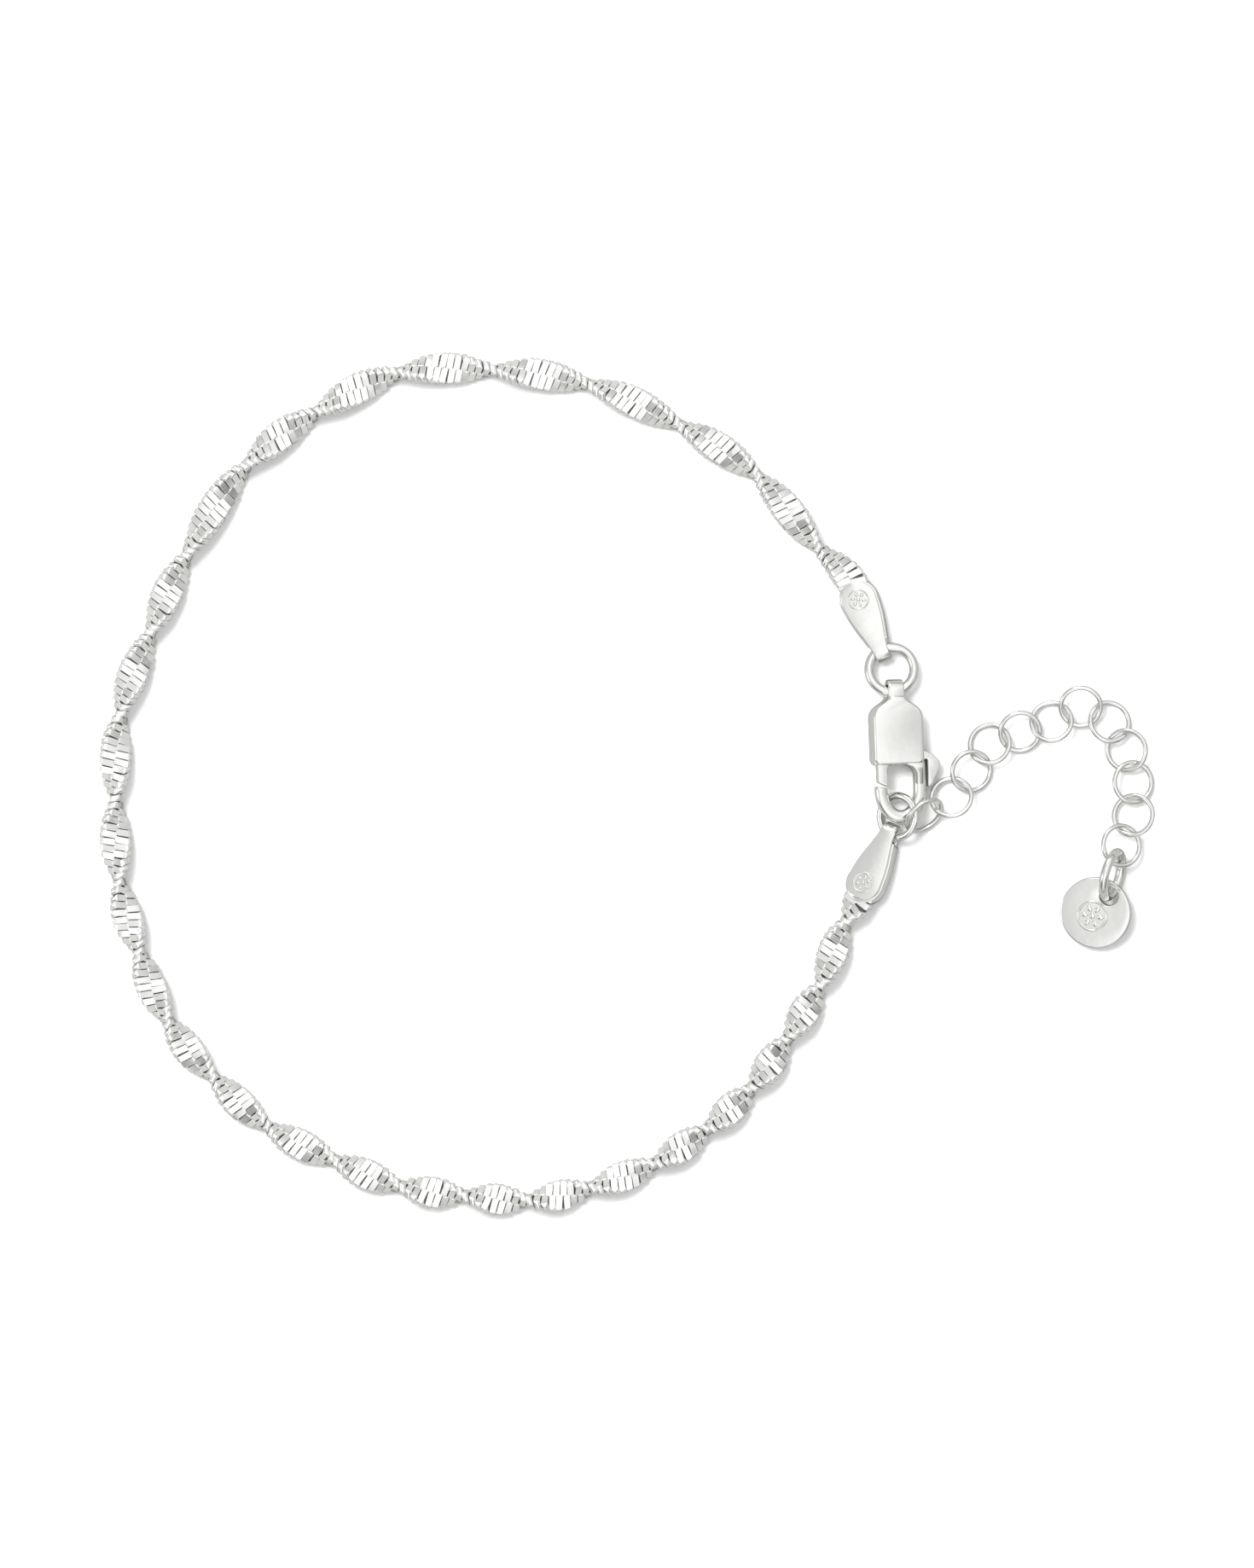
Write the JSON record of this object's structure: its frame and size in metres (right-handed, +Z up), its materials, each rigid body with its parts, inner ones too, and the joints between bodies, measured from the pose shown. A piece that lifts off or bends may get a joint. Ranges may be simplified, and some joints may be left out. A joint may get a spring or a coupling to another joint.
{
  "type": "chain bracelet",
  "caption": "Slim twisted herringbone chain bracelet closed by a trigger clasp, with folded end caps, a ring-link extender and a round tag.",
  "frame": {"origin": "middle of the bracelet's box, on the surface that it lies on", "axes": "+X from the chain's loop towards the extender, +Y towards the clasp's eye and the upper cap, +Z up off the surface"},
  "size_m": [0.0742, 0.0608, 0.0036],
  "materials": {
    "chain_silver": "polished sterling silver, flat woven links",
    "silver": "polished sterling silver"
  },
  "bodies": {
    "bracelet": {"chain": "chain_silver", "end_cap_upper": "silver", "end_cap_lower": "silver", "jump_ring_upper": "silver", "jump_ring_lower": "silver", "clasp_body": "silver", "extender_link_01": "silver", "extender_link_02": "silver", "extender_link_03": "silver", "extender_link_04": "silver", "extender_link_05": "silver", "extender_link_06": "silver", "extender_link_07": "silver", "extender_link_08": "silver", "extender_link_09": "silver", "extender_link_10": "silver", "extender_link_11": "silver", "extender_link_12": "silver", "tag_ring": "silver", "tag_disc": "silver"},
    "lever": {"clasp_lever": "silver"}
  },
  "joints": [
    {"name": "clasp_trigger", "type": "hinge", "parent": "bracelet", "child": "lever", "pos_m": [0.01906, 0.00219, 0.00138], "axis": [0.2078, 0.0073, 0.9781], "range_deg": [0, 26], "stiffness_Nm_per_rad": 0.001, "springref_deg": -17.19}
  ]
}
